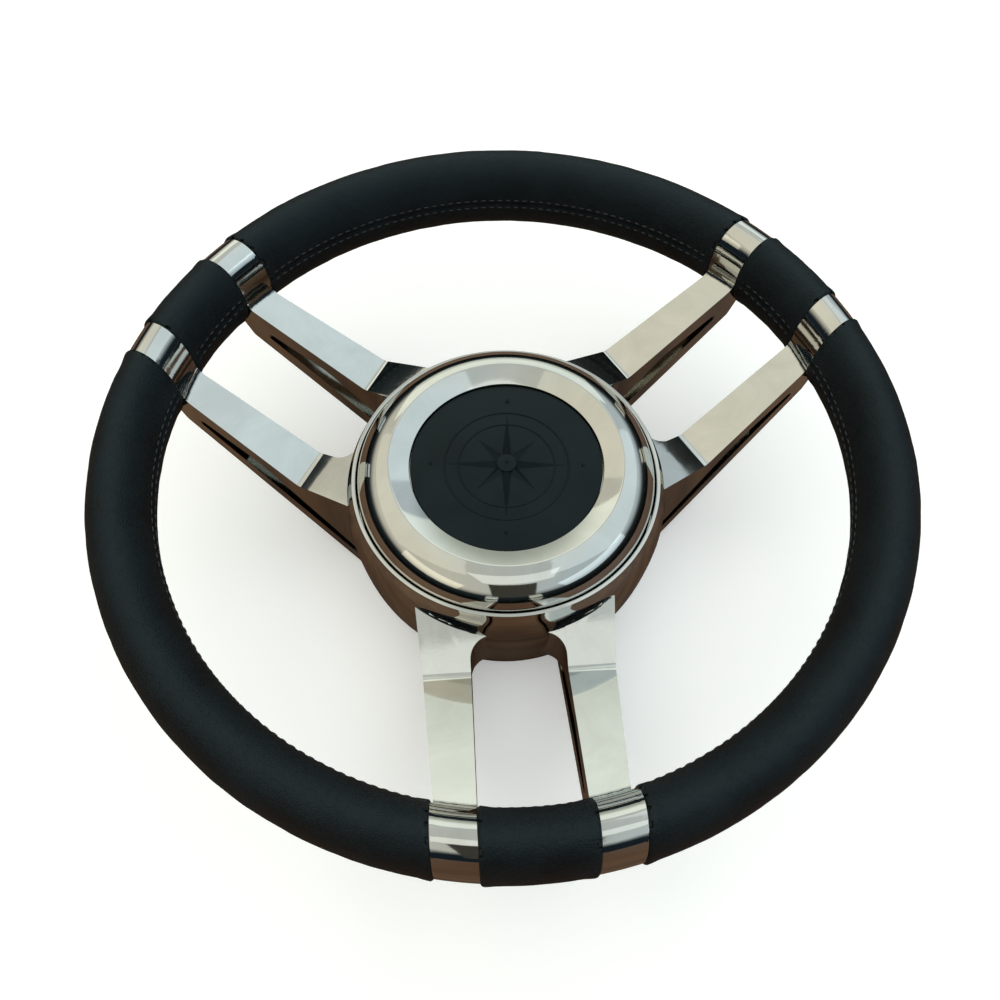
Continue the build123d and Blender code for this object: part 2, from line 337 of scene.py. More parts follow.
shader.inputs["Specular IOR Level"].default_value = 0.36
shader.inputs["Specular Tint"].default_value = linear("#CDE8F4")
tree.links.new(tint(tree, handled, "#090C0E", "#12181B"), shader.inputs["Base Color"])
emboss(tree, shader, [(handled, 0.25), (crease_lines, 0.07), (pebble_tops, 0.10)])
print("made", leather.name)

# %% [markdown]
# The thread is waxed polyester, a shade paler than the leather, and its twist shows as
# tiny diagonal ribs. The foam core under the leather is moulded black polyurethane with a
# skin of small bubbles.

# %% Waxed thread and foam
thread, tree, shader, place = start_material("waxed_polyester_thread", "#2E3335", 0.42)
twist = add_node(tree, "ShaderNodeTexWave", {"Scale": WAVE_STEP * per_metre(THREAD_TWIST),
                 "Distortion": 1.0}, {"Vector": place},
                 bands_direction="DIAGONAL").outputs["Fac"]
tree.links.new(tint(tree, twist, "#1B1F21", "#3C4143", 0.2, 0.8), shader.inputs["Base Color"])
emboss(tree, shader, [(twist, 0.05)])

foam, tree, shader, place = start_material("moulded_foam", "#222425", 0.8)
bubbles = add_node(tree, "ShaderNodeTexVoronoi", {"Scale": per_metre(1.1)},
                   {"Vector": place}).outputs["Distance"]
tree.links.new(tint(tree, bubbles, "#17191A", "#2B2E2F", 0.1, 0.6), shader.inputs["Base Color"])
emboss(tree, shader, [(bubbles, 0.06)])
print("made", thread.name, foam.name)

# %% [markdown]
# The compass disc is moulded nitrile rubber. The blasted mould leaves it a fine dry matte,
# with a faint cool bloom on its surface. The O-ring is the same rubber with a greased shine
# that comes and goes along it.

# %% Moulded rubbers
disc_rubber, tree, shader, place = start_material("matte_moulded_rubber", "#171C1E", 0.62)
blast = add_node(tree, "ShaderNodeTexNoise", {"Scale": per_metre(0.5), "Detail": 3.0},
                 {"Vector": place}).outputs["Fac"]
bloom = add_node(tree, "ShaderNodeTexNoise", {"Scale": per_metre(15), "Detail": 4.0},
                 {"Vector": place}).outputs["Fac"]
shader.inputs["Specular IOR Level"].default_value = 0.22
shader.inputs["Specular Tint"].default_value = linear("#D4EBF2")
tree.links.new(vary(tree, bloom, 0.36, 0.48), shader.inputs["Roughness"])
tree.links.new(tint(tree, bloom, "#0A0F11", "#10171A"), shader.inputs["Base Color"])
emboss(tree, shader, [(blast, 0.02)])

seal_rubber, tree, shader, place = start_material("greased_seal_rubber", "#101112", 0.34)
grease = add_node(tree, "ShaderNodeTexNoise", {"Scale": per_metre(4), "Detail": 4.0},
                  {"Vector": place}).outputs["Fac"]
tree.links.new(vary(tree, grease, 0.26, 0.5), shader.inputs["Roughness"])
tree.links.new(tint(tree, grease, "#0C0D0E", "#17191A"), shader.inputs["Base Color"])
emboss(tree, shader, [(grease, 0.02)])
print("made", disc_rubber.name, seal_rubber.name)

# %% [markdown]
# The spokes were drawn exactly in CAD, but their meshes are loose triangles with razor
# edges, and a mirror shows both. The two spokes of the first pair are copied and their
# points are merged; flat areas are dissolved to single faces; the crisp edges get the
# half-millimetre round that buffing leaves; and the normals are weighted so that flats stay
# flat. The other two pairs are turned copies. One shape differs from the CAD: the short
# facet beside the hub rises less steeply here, because a mirror at this slope shows the
# bright room over the rim. Its points move by two to three millimetres at the bowl's wall.

# %% Buffed copies of the metal castings
EDGE_ROUND = 0.45 * MM
SHARP_TURN = math.radians(32)
FLAT_TURN = math.radians(0.4)  # faces that turn less than this are one flat
CAD_SLOPE = 0.40               # rise of the short facet beside the hub, in the CAD
FACET_SLOPE = 0.27             # and here, a little flatter
STRIP_BEND = Vector((88.0 * MM, 0, 55.0 * MM))
BEND_END = 85.9 * MM           # where the round of the bend runs into the facet
BEND_MARGIN = 0.4 * MM         # the round's last points stay where they are
ON_FACET = 0.06 * MM           # how near the facet a point has to lie to belong to it
HUB_REACH = 77 * MM            # edges nearer the shaft than this end in the bowl's wall
COLLAR_CLEARANCE = 1.5 * MM    # edges this near the ring rod are inside the collar


def buffed_copy(node, name):
    """A smooth copy of a spoke from the CAD, with its crisp edges rounded."""
    source = nodes[node]
    piece = source.copy()
    piece.data = source.data.copy()
    piece.name = name
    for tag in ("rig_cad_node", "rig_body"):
        if tag in piece:
            del piece[tag]
    piece.parent = None
    bpy.context.scene.collection.objects.link(piece)
    merge_flats(piece)
    tip_facet(piece)
    round_edges(piece)
    pick(piece)
    bpy.ops.object.shade_smooth_by_angle(angle=SHARP_TURN)
    weight = piece.modifiers.new("flats stay flat", "WEIGHTED_NORMAL")
    weight.keep_sharp = True
    weight.weight = 90
    apply_modifiers(piece)
    return piece


def merge_flats(piece):
    """Merge a copied CAD mesh and dissolve its flat areas, leaving its facing as it is."""
    choose(piece, lambda item: True)
    bpy.ops.mesh.remove_doubles(threshold=MERGE_DISTANCE)
    bpy.ops.mesh.select_all(action="SELECT")
    bpy.ops.mesh.dissolve_limited(angle_limit=FLAT_TURN)
    let_go()


def round_edges(piece):
    """Bevel the edges that turn sharply outwards and aren't hidden in other metal."""
    mesh = piece.data
    mesh.update()
    faces_of = {}
    for face in mesh.polygons:
        for key in face.edge_keys:
            faces_of.setdefault(key, []).append(face)
    sharp = set()
    for edge in mesh.edges:
        faces = faces_of.get(edge.key, [])
        if len(faces) != 2:
            continue
        turn = faces[0].normal.angle(faces[1].normal, 0.0)
        outward = (faces[1].center - faces[0].center).dot(faces[0].normal) < 0
        middle = (mesh.vertices[edge.vertices[0]].co + mesh.vertices[edge.vertices[1]].co) / 2
        if turn > SHARP_TURN and outward and not hidden_spoke_end(middle):
            sharp.add(edge.index)
    count = choose(piece, lambda edge: edge.index in sharp, "EDGE")
    bpy.ops.mesh.bevel(offset=EDGE_ROUND, offset_type="OFFSET", segments=3, profile=0.5,
                       clamp_overlap=True, affect="EDGES")
    let_go()
    print(piece.name, "rounded", count, "edges")


def turned_copy(piece, name, angle, mirrored):
    """A copy with its own mesh, turned to a pair's direction and mirrored if asked."""
    pick(piece)
    bpy.ops.object.duplicate()
    copy = bpy.context.object
    copy.name = name
    copy.scale = (1, -1 if mirrored else 1, 1)
    freeze(copy)
    copy.rotation_mode = "XYZ"
    copy.rotation_euler.z = math.radians(angle)
    freeze(copy)
    if mirrored:
        tidy_shell(copy)
    return copy


def cad_facet_level(reach):
    """Level of the CAD's facet at this distance from the shaft."""
    return STRIP_BEND.z + CAD_SLOPE * (STRIP_BEND.x - reach)


def tip_facet(piece):
    """Tip the facet of a spoke along -Y a few degrees down towards the hub."""
    count = choose(piece, lambda v: -v.co.y < BEND_END - BEND_MARGIN
                   and abs(v.co.z - cad_facet_level(-v.co.y)) < ON_FACET)
    bpy.ops.transform.rotate(value=math.atan(CAD_SLOPE) - math.atan(FACET_SLOPE),
                             orient_axis="X", orient_type="GLOBAL",
                             center_override=(0, -BEND_END, cad_facet_level(BEND_END)))
    let_go()
    print(piece.name, "facet points", count)


def hidden_spoke_end(point):
    """True beside the hub wall and inside the collar, where the edges meet other metal."""
    reach = math.hypot(point.x, point.y)
    from_rod = (Vector((reach, point.z)) - Vector((RIM_RADIUS, RIM_LEVEL))).length
    return reach < HUB_REACH or from_rod < ROD_RADIUS + COLLAR_CLEARANCE


for side in ("left", "right"):
    first = buffed_copy(f"spoke_1_{side}", f"buffed_spoke_1_{side}")
    others = [turned_copy(first, f"buffed_spoke_{number}_{side}", 120 * (number - 1), False)
              for number in (2, 3)]
    for number, spoke in enumerate([first] + others, start=1):
        settle(spoke, "wheel", mirror_steel, [f"spoke_{number}_{side}"])

# %% [markdown]
# The hub and its cap are spun shells, so we make them as a spinner does: draw half of the
# outline beside the shaft, one short line after another, and turn it once round. The
# measures follow the CAD's within a millimetre: the bowl's mouth, the dome's crest and the
# edge of its inner land are a little softer. The six screw holes in the bowl's floor are
# left out, because the screws fill them. A copy of the CAD mesh would show its long thin
# triangles in the mirror finish.

# %% Turned shells
TURN_STEPS = 180
ARC_POINTS = 14


def arc(start, middle, end, count=ARC_POINTS):
    """Points along the circle through three (radius, level) points."""
    (ax, ay), (bx, by), (cx, cy) = start, middle, end
    twice = 2 * (ax * (by - cy) + bx * (cy - ay) + cx * (ay - by))
    sa, sb, sc = ax * ax + ay * ay, bx * bx + by * by, cx * cx + cy * cy
    ox = (sa * (by - cy) + sb * (cy - ay) + sc * (ay - by)) / twice
    oy = (sa * (cx - bx) + sb * (ax - cx) + sc * (bx - ax)) / twice
    radius = math.hypot(ax - ox, ay - oy)
    first = math.atan2(ay - oy, ax - ox)
    half = math.remainder(math.atan2(by - oy, bx - ox) - first, 2 * math.pi)
    rest = math.remainder(math.atan2(cy - oy, cx - ox) - first - half, 2 * math.pi)
    return [(ox + radius * math.cos(first + (half + rest) * i / count),
             oy + radius * math.sin(first + (half + rest) * i / count))
            for i in range(count + 1)]


def rounded(corner, before, after, radius, count=6):
    """A small round at a profile's corner, between its two neighbouring points."""
    here = Vector(corner)
    back = (Vector(before) - here).normalized() * radius
    on = (Vector(after) - here).normalized() * radius
    return [tuple(here + back * (1 - i / count) ** 2 + on * (i / count) ** 2)
            for i in range(count + 1)]


def flowing(points, per_span=12):
    """A smooth line through points, its bend matched from one span to the next."""
    path = [Vector(p) for p in points]
    path = [2 * path[0] - path[1]] + path + [2 * path[-1] - path[-2]]
    line = []
    for p0, p1, p2, p3 in zip(path, path[1:], path[2:], path[3:]):
        for i in range(per_span):
            t = i / per_span
            line.append(tuple(0.5 * (2 * p1 + (p2 - p0) * t
                                     + (2 * p0 - 5 * p1 + 4 * p2 - p3) * t * t
                                     + (3 * p1 - p0 - 3 * p2 + p3) * t ** 3)))
    return line + [tuple(points[-1])]


def turned_shell(name, profile):
    """Draw a closed profile of (radius, level) in mm with extrudes, and spin it once round."""
    let_go()
    first = profile[0]
    bpy.ops.mesh.primitive_plane_add(size=MM, location=(first[0] * MM, 0, first[1] * MM))
    shell = freeze(bpy.context.object)
    shell.name = name
    bpy.ops.object.mode_set(mode="EDIT")
    bpy.ops.mesh.select_mode(type="VERT")
    bpy.ops.mesh.select_all(action="SELECT")
    bpy.ops.mesh.merge(type="CENTER")
    for here, there in zip(profile, profile[1:] + profile[:1]):
        step = ((there[0] - here[0]) * MM, 0, (there[1] - here[1]) * MM)
        bpy.ops.mesh.extrude_region_move(TRANSFORM_OT_translate={"value": step})
    bpy.ops.mesh.select_all(action="SELECT")
    bpy.ops.mesh.spin(steps=TURN_STEPS, angle=2 * math.pi, center=(0, 0, 0), axis=(0, 0, 1))
    tidy_shell(shell)
    pick(shell)
    bpy.ops.object.shade_smooth_by_angle(angle=SHARP_TURN)
    return shell


bowl_profile = (
    rounded((67.9, 72.1), (67.9, 60), (69.6, 72.1), 0.6)
    + flowing([(69.6, 72.1), (72.6, 64.5), (74.0, 52.0), (71.8, 26.0), (66.0, 5.0)])
    + rounded((62.0, 0.0), (66.0, 5.0), (19.0, 0.0), 0.8)
    + [(19.05, 0.0), (19.05, 5.0), (57.0, 5.0)]
    + arc((63.5, 10.0), (69.3, 26.0), (71.5, 49.5))
    + [(65.0, 57.1), (65.0, 60.1), (67.9, 60.1)])
bowl = turned_shell("spun_bowl", bowl_profile)
settle(bowl, "wheel", mirror_steel, ["hub_bowl"])

dome_profile = (
    rounded((67.4, 71.5), (67.4, 70.6), (66.6, 73.8), 0.35)
    + arc((67.2, 72.3), (62.2, 80.0), (53.0, 84.05))
    + rounded((52.2, 84.3), (53.0, 84.05), (51.4, 83.94), 0.8)
    + rounded((43.2, 80.3), (44.2, 80.74), (43.2, 77.3), 0.3)
    + [(43.2, 77.3), (0.0, 77.3), (0.0, 75.3), (44.2, 75.3), (52.2, 82.3)]
    + arc((52.2, 82.3), (60.2, 78.0), (64.6, 69.6))
    + [(64.6, 60.15), (67.0, 60.15), (67.0, 63.6), (65.6, 63.6), (65.6, 65.6), (67.0, 65.6),
       (67.0, 70.6), (67.4, 70.6)])
dome = turned_shell("spun_dome", dome_profile)
settle(dome, "cap", mirror_steel, ["cap_dome"])

# %% [markdown]
# Where a spoke meets the hub, a hollow fillet fills the corner between the spoke's inner
# side and the bowl, as deep as the upper bar. One fillet is drawn in plan, pulled up from
# below and cut off along the spoke's sloping facet. The six fillets are turned and mirrored
# copies of it, and the pattern is thrown away.

# %% Fillets between the spokes and the bowl
FILLET_RADIUS = 9.5 * MM
HUB_RADIUS = 73.0 * MM        # of the bowl, at the fillets' level
FILLET_FOOT = 31.0 * MM       # level of the lower end
FILLET_PULL = 40.0 * MM       # pulled up this far, past the facet that cuts it off
SUNK = 2.5 * MM               # how far the fillet's back is buried in the castings
UNDER_FACET = 0.25 * MM       # the fillet's top lies this much under the facet
FILLET_STEPS = 14


def hub_fillet(name):
    """The fillet of a spoke along +X, on its inner side."""
    centre_v = SPOKE_INNER_EDGE - FILLET_RADIUS
    centre_u = math.sqrt((HUB_RADIUS + FILLET_RADIUS) ** 2 - centre_v ** 2)
    first = math.pi / 2
    last = math.pi + math.atan2(centre_v, centre_u)
    turns = [first + (last - first) * i / FILLET_STEPS for i in range(FILLET_STEPS + 1)]
    plan = [(centre_u + FILLET_RADIUS * math.cos(turn),
             centre_v + FILLET_RADIUS * math.sin(turn)) for turn in turns]
    back_u = plan[-1][0] - SUNK
    back_v = SPOKE_INNER_EDGE + SUNK / 2
    plan += [(back_u, plan[-1][1]), (back_u, back_v), (plan[0][0], back_v)]
    let_go()
    bpy.ops.mesh.primitive_plane_add(size=MM, location=(*plan[0], FILLET_FOOT))
    piece = freeze(bpy.context.object)
    piece.name = name
    bpy.ops.object.mode_set(mode="EDIT")
    bpy.ops.mesh.select_mode(type="VERT")
    bpy.ops.mesh.select_all(action="SELECT")
    bpy.ops.mesh.merge(type="CENTER")
    for here, there in zip(plan, plan[1:] + plan[:1]):
        step = (there[0] - here[0], there[1] - here[1], 0)
        bpy.ops.mesh.extrude_region_move(TRANSFORM_OT_translate={"value": step})
    bpy.ops.mesh.select_all(action="SELECT")
    bpy.ops.mesh.remove_doubles(threshold=MERGE_DISTANCE)
    bpy.ops.mesh.edge_face_add()
    bpy.ops.mesh.extrude_region_move(TRANSFORM_OT_translate={"value": (0, 0, FILLET_PULL)})
    bpy.ops.mesh.select_all(action="SELECT")
    bpy.ops.mesh.bisect(plane_co=STRIP_BEND - Vector((0, 0, UNDER_FACET)),
                        plane_no=(FACET_SLOPE, 0, 1), clear_outer=True, use_fill=True)
    tidy_shell(piece)
    pick(piece)
    bpy.ops.object.shade_smooth_by_angle(angle=SHARP_TURN)
    return piece


pattern_piece = hub_fillet("fillet_pattern")
for number, angle in enumerate(PAIR_ANGLES, start=1):
    for side, mirrored in (("left", False), ("right", True)):
        fillet = turned_copy(pattern_piece, f"hub_fillet_{number}_{side}", angle, mirrored)
        settle(fillet, "wheel", mirror_steel)
bpy.data.objects.remove(pattern_piece)

# %% [markdown]
# The pieces inside the wheel are right as the CAD drew them: the ring rod, the boss and its
# screws, the O-ring and the foam cores. They only get their finishes.

# %% Finishes for the nodes that stay as CAD drew them
KEPT = {"rim_rod": drawn_steel, "hub_boss": turned_steel, "boss_screws": screw_steel,
        "cap_oring": seal_rubber}
KEPT.update({name: foam for name in nodes if name.startswith("grip_core")})
for name, material in KEPT.items():
    nodes[name].data.materials.clear()
    nodes[name].data.materials.append(material)
print("kept from CAD:", sorted(KEPT))

# %% [markdown]
# A leather wrap is a strip pulled round the oval foam and sewn along the inside of the
# rim. Each end is turned under, which leaves a soft roll, a little fatter than the grip,
# against the steel collar. We draw the oval once, spin it round the shaft, cut the ends
# along the spokes' sides with a plane, and then roll each cut end over in small steps.

# %% Leather wraps
SECTION_POINTS = 112
ARC_STEP = math.radians(0.42)
END_ROLL = 1.35 * MM          # radius of the turned-under end
ROLL_STEPS = 4
ROLL_SWELL = 1.03             # the doubled leather at the end is a little fatter
SWELL_REACH = 5.0 * MM        # and thins out again over this length
LEATHER = 1.2 * MM
SEAM_DEPTH = 0.75 * MM
SEAM_HALF_WIDTH = 0.6 * MM
SEAM_REACH = 0.97             # the groove is only pressed this near the innermost line
SLACK = 0.45 * MM             # how far the pulled leather wanders in and out
SLACK_SIZE = 11.0 * MM        # and over what length
SHORT_SPAN = math.radians(24)    # cut from this much of the ring
LONG_SPAN = math.radians(112)


def direction(degrees):
    angle = math.radians(degrees)
    return Vector((math.cos(angle), math.sin(angle), 0))


def oval_ring(name, middle, span):
    """The oval section, spun through a span round the shaft, centred on a direction."""
    let_go()
    start = math.radians(middle) - span / 2
    bpy.ops.mesh.primitive_circle_add(
        vertices=SECTION_POINTS, radius=1, fill_type="NOTHING",
        location=(RIM_RADIUS * math.cos(start), RIM_RADIUS * math.sin(start), RIM_LEVEL),
        rotation=(math.pi / 2, 0, start))
    ring = bpy.context.object
    ring.name = name
    ring.scale = (GRIP_HALF_WIDTH, GRIP_HALF_HEIGHT, 1)
    freeze(ring)
    choose(ring, lambda item: True)
    # Seen along its axis, spin turns clockwise, so the axis points down.
    bpy.ops.mesh.spin(steps=math.ceil(span / ARC_STEP), angle=span, center=(0, 0, 0),
                      axis=(0, 0, -1))
    let_go()
    return ring


def cut_and_roll(ring, toward, across, offset):
    """Cut the ring by the plane whose outward direction is across, then roll the end."""
    reach = offset - END_ROLL
    choose(ring, lambda item: True)
    bpy.ops.mesh.bisect(plane_co=across * reach, plane_no=across, clear_outer=True,
                        use_fill=False)
    let_go()
    along = Vector((-across.y, across.x, 0))
    if along.dot(toward) < 0:
        along = -along
    centre = across * reach + along * math.sqrt(RIM_RADIUS ** 2 - reach ** 2)
    centre.z = RIM_LEVEL
    choose(ring, lambda v: abs(v.co.dot(across) - reach) < 0.01 * MM)
    bpy.ops.transform.resize(value=(ROLL_SWELL, ROLL_SWELL, ROLL_SWELL), center_override=centre,
                             use_proportional_edit=True, use_proportional_connected=True,
                             proportional_edit_falloff="SMOOTH",
                             proportional_size=SWELL_REACH)
    inward = 0.0
    forward = 0.0
    width = GRIP_HALF_WIDTH * ROLL_SWELL
    height = GRIP_HALF_HEIGHT * ROLL_SWELL
    for step in range(1, ROLL_STEPS + 1):
        turn = step * math.pi / 2 / ROLL_STEPS
        next_inward = END_ROLL * (1 - math.cos(turn))
        next_forward = END_ROLL * math.sin(turn)
        bpy.ops.mesh.extrude_region_move(
            TRANSFORM_OT_translate={"value": across * (next_forward - forward)})
        flat = (width - next_inward) / (width - inward)
        tall = (height - next_inward) / (height - inward)
        bpy.ops.transform.resize(value=(flat, flat, tall),
                                 center_override=centre + across * next_forward)
        inward, forward = next_inward, next_forward
    let_go()


def press_seam(ring):
    """Press a groove along the innermost line of the rim, where the edges are sewn."""
    inner_line = RIM_RADIUS - GRIP_HALF_WIDTH * SEAM_REACH
    count = choose(ring, lambda v: math.hypot(v.co.x, v.co.y) < inner_line
                   and abs(v.co.z - RIM_LEVEL) < SEAM_HALF_WIDTH)
    bpy.ops.transform.shrink_fatten(value=-SEAM_DEPTH)
    let_go()
    return count


def leather_wrap(name, middle, span, ends):
    """One grip's leather, cut at its ends by (outward direction, distance) planes."""
    ring = oval_ring(name, middle, span)
    for across, offset in ends:
        cut_and_roll(ring, direction(middle), across, offset)
    tidy_shell(ring)
    facing_out = sum((p.center.z - RIM_LEVEL) * p.normal.z for p in ring.data.polygons)
    if facing_out < 0:
        choose(ring, lambda item: True)
        bpy.ops.mesh.flip_normals()
        let_go()
    pressed = press_seam(ring)
    slack = ring.modifiers.new("slack", "DISPLACE")
    slack.texture = slack_pattern
    slack.texture_coords = "LOCAL"
    slack.strength = SLACK
    slack.mid_level = 0.5
    wall = ring.modifiers.new("wall", "SOLIDIFY")
    wall.thickness = LEATHER
    wall.offset = -1.0
    apply_modifiers(ring)
    bpy.ops.object.shade_smooth()
    print(name, "seam points", pressed)
    return ring


slack_pattern = bpy.data.textures.new("leather slack", "CLOUDS")
slack_pattern.noise_scale = SLACK_SIZE
slack_pattern.noise_depth = 2

for number, angle in enumerate(PAIR_ANGLES, start=1):
    side = direction(angle + 90)
    short = leather_wrap(f"leather_short_{number}", angle, SHORT_SPAN,
                         [(side, SPOKE_INNER_EDGE), (-side, SPOKE_INNER_EDGE)])
    settle(short, "wheel", leather, [f"grip_wrap_short_{number}"])
    middle = angle + 60
    long = leather_wrap(f"leather_long_{number}", middle, LONG_SPAN,
                        [(-direction(middle + 30), -SPOKE_OUTER_EDGE),
                         (-direction(middle - 30), -SPOKE_OUTER_EDGE)])
    settle(long, "wheel", leather, [f"grip_wrap_long_{number}"])

# %% [markdown]
# The wrap is closed along the inside of the rim by two rows of hand stitches, one each
# side of the seam. One stitch is a stretched ball, half sunk in the leather; an array that
# turns round the shaft repeats it at an even pitch.

# %% Stitches
STITCH_PITCH = 4.2 * MM
STITCH_HALF_LENGTH = 1.45 * MM
THREAD_RADIUS = 0.36 * MM
ROW_OFFSET = 2.2 * MM         # from the seam to each row
SHORT_ROW = math.radians(6.6)    # from a row's middle to its end
LONG_ROW = math.radians(44.6)


def stitch_row(name, middle, half_arc, side):
    """A row of stitches above (side 1) or below (side -1) the seam."""
    rise = side * ROW_OFFSET
    radius = RIM_RADIUS - GRIP_HALF_WIDTH * math.sqrt(1 - (rise / GRIP_HALF_HEIGHT) ** 2)
    pitch = STITCH_PITCH / radius
    count = math.floor(2 * half_arc / pitch) + 1
    start = math.radians(middle) - (count - 1) * pitch / 2
    let_go()
    bpy.ops.mesh.primitive_uv_sphere_add(
        segments=8, ring_count=6, radius=1, rotation=(0, 0, start),
        location=(radius * math.cos(start), radius * math.sin(start), RIM_LEVEL + rise))
    row = bpy.context.object
    row.name = name
    row.scale = (THREAD_RADIUS, STITCH_HALF_LENGTH, THREAD_RADIUS)
    freeze(row)
    bpy.ops.object.shade_smooth()
    bpy.ops.object.empty_add(rotation=(0, 0, pitch))
    turner = bpy.context.object
    repeat = row.modifiers.new("repeat", "ARRAY")
    repeat.count = count
    repeat.use_relative_offset = False
    repeat.use_object_offset = True
    repeat.offset_object = turner
    bpy.context.view_layer.update()
    apply_modifiers(row)
    bpy.data.objects.remove(turner)
    return row


def stitches(name, middle, half_arc):
    """Both rows of one grip, joined to one piece."""
    rows = [stitch_row(name, middle, half_arc, side) for side in (1, -1)]
    pick(*rows)
    bpy.ops.object.join()
    settle(rows[0], "wheel", thread)


for number, angle in enumerate(PAIR_ANGLES, start=1):
    stitches(f"stitches_short_{number}", angle, SHORT_ROW)
    stitches(f"stitches_long_{number}", angle + 60, LONG_ROW)

# %% [markdown]
# The compass disc carries a generic rose: eight points, four long and four short, each
# folded along its middle so that one half catches the light. A sixteen-sided cone is the
# whole star once its valleys and its short points are pulled in. Two fine rings, a round
# boss and four small wedges for the quarters finish it; there is no lettering.

# %% Compass disc
insert_low, insert_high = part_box("cap_insert")
INSERT_TOP = insert_high.z
INSERT_RADIUS = insert_high.x
INSERT_GAP = 0.25 * MM
ROSE_TURN = math.radians(-4.2)
LONG_POINT = 26.7 * MM
SHORT_POINT = 18.5 * MM
VALLEY = 5.4 * MM
STAR_HEIGHT = 2.0 * MM
BOSS_RADIUS = 4.6 * MM
RING_RADII = (27.7 * MM, 21.4 * MM)
RING_WIRE = 0.5 * MM          # radius of the rings' round section, nearly half sunk
MARK_RADIUS = 34.0 * MM
FIRST_MARK = 2.9 * MM         # the wedge at the top is larger than the other three
OTHER_MARK = 2.2 * MM
ROSE_CORNER = 22.5            # degrees between the corners of the sixteen-sided cone
ROSE_FOLD = math.radians(20)  # edges that turn more than this stay crisp

let_go()
bpy.ops.mesh.primitive_cylinder_add(
    vertices=160, radius=INSERT_RADIUS - INSERT_GAP, depth=INSERT_TOP - insert_low.z,
    location=(0, 0, (INSERT_TOP + insert_low.z) / 2))
disc = freeze(bpy.context.object)
disc.name = "compass_disc"
choose(disc, lambda e: all(disc.data.vertices[i].co.z > INSERT_TOP - 0.01 * MM
                           for i in e.vertices), "EDGE")
bpy.ops.mesh.bevel(offset=0.5 * MM, segments=3, affect="EDGES")
let_go()

bpy.ops.mesh.primitive_cone_add(
    vertices=16, radius1=LONG_POINT, radius2=0, depth=STAR_HEIGHT,
    location=(0, 0, INSERT_TOP + STAR_HEIGHT / 2))
star = freeze(bpy.context.object)


def point_number(vertex):
    """Which of the sixteen corners this is, counted round from +X; None for the top."""
    if math.hypot(vertex.co.x, vertex.co.y) < MM:
        return None
    return round(math.degrees(math.atan2(vertex.co.y, vertex.co.x)) / ROSE_CORNER)


for keep, length in ((lambda n: n % 2 == 1, VALLEY), (lambda n: n % 4 == 2, SHORT_POINT)):
    choose(star, lambda v: point_number(v) is not None and keep(point_number(v)))
    ratio = length / LONG_POINT
    bpy.ops.transform.resize(value=(ratio, ratio, 1), center_override=(0, 0, INSERT_TOP))
let_go()

bpy.ops.mesh.primitive_cylinder_add(vertices=48, radius=BOSS_RADIUS, depth=2 * STAR_HEIGHT,
                                    location=(0, 0, INSERT_TOP - 0.2 * MM))
boss = freeze(bpy.context.object)
choose(boss, lambda e: all(boss.data.vertices[i].co.z > INSERT_TOP
                           for i in e.vertices), "EDGE")
bpy.ops.mesh.bevel(offset=0.6 * MM, segments=3, affect="EDGES")
let_go()
relief = [star, boss]
for ring_radius in RING_RADII:
    bpy.ops.mesh.primitive_torus_add(major_radius=ring_radius, minor_radius=RING_WIRE,
                                     major_segments=144, minor_segments=8,
                                     location=(0, 0, INSERT_TOP - 0.1 * MM))
    relief.append(freeze(bpy.context.object))
for quarter in range(4):
    turn = quarter * math.pi / 2
    bpy.ops.mesh.primitive_cone_add(
        vertices=3, radius1=OTHER_MARK if quarter else FIRST_MARK, radius2=0.4 * MM,
        depth=1.1 * MM, rotation=(0, 0, turn),
        location=(-MARK_RADIUS * math.sin(turn), MARK_RADIUS * math.cos(turn), INSERT_TOP))
    relief.append(freeze(bpy.context.object))
for piece in relief[2:]:
    pick(piece)
    bpy.ops.object.shade_smooth_by_angle(angle=SHARP_TURN)
pick(disc, *relief)
bpy.ops.object.join()
disc.rotation_euler.z = ROSE_TURN
freeze(disc)
bpy.ops.object.shade_smooth_by_angle(angle=ROSE_FOLD)
settle(disc, "cap", disc_rubber, ["cap_insert"])

# %% [markdown]
# The wheel lies on its hub on a plain pale floor. Mirror steel shows whatever stands round
# it, and a pale floor would make its sides vanish into the floor itself. So a brown board
# lies over the floor that only reflections see: it draws the flanks of the spokes and the
# wall of the bowl in a warm dark tone. The floor glows a little to keep its shadows light.

# %% Floor
FLOOR_SIZE = 8.0              # metres
FLOOR_LEVEL = -0.6 * MM
FLOOR_GLOW = 0.28
let_go()
bpy.ops.mesh.primitive_plane_add(size=FLOOR_SIZE, location=(0, 0, FLOOR_LEVEL))
floor = freeze(bpy.context.object)
floor.name = "floor"
board, tree, shader, place = start_material("pale_painted_board", "#EFEFEC", 0.7)
mottle = add_node(tree, "ShaderNodeTexNoise", {"Scale": per_metre(90), "Detail": 3.0},
                  {"Vector": place}).outputs["Fac"]
tree.links.new(tint(tree, mottle, "#EEEEEC", "#F1F1EF"), shader.inputs["Base Color"])
shader.inputs["Emission Color"].default_value = linear("#FFFFFF")
shader.inputs["Emission Strength"].default_value = FLOOR_GLOW
floor.data.materials.append(board)
floor.visible_glossy = False
print("floor", FLOOR_SIZE, "m wide")

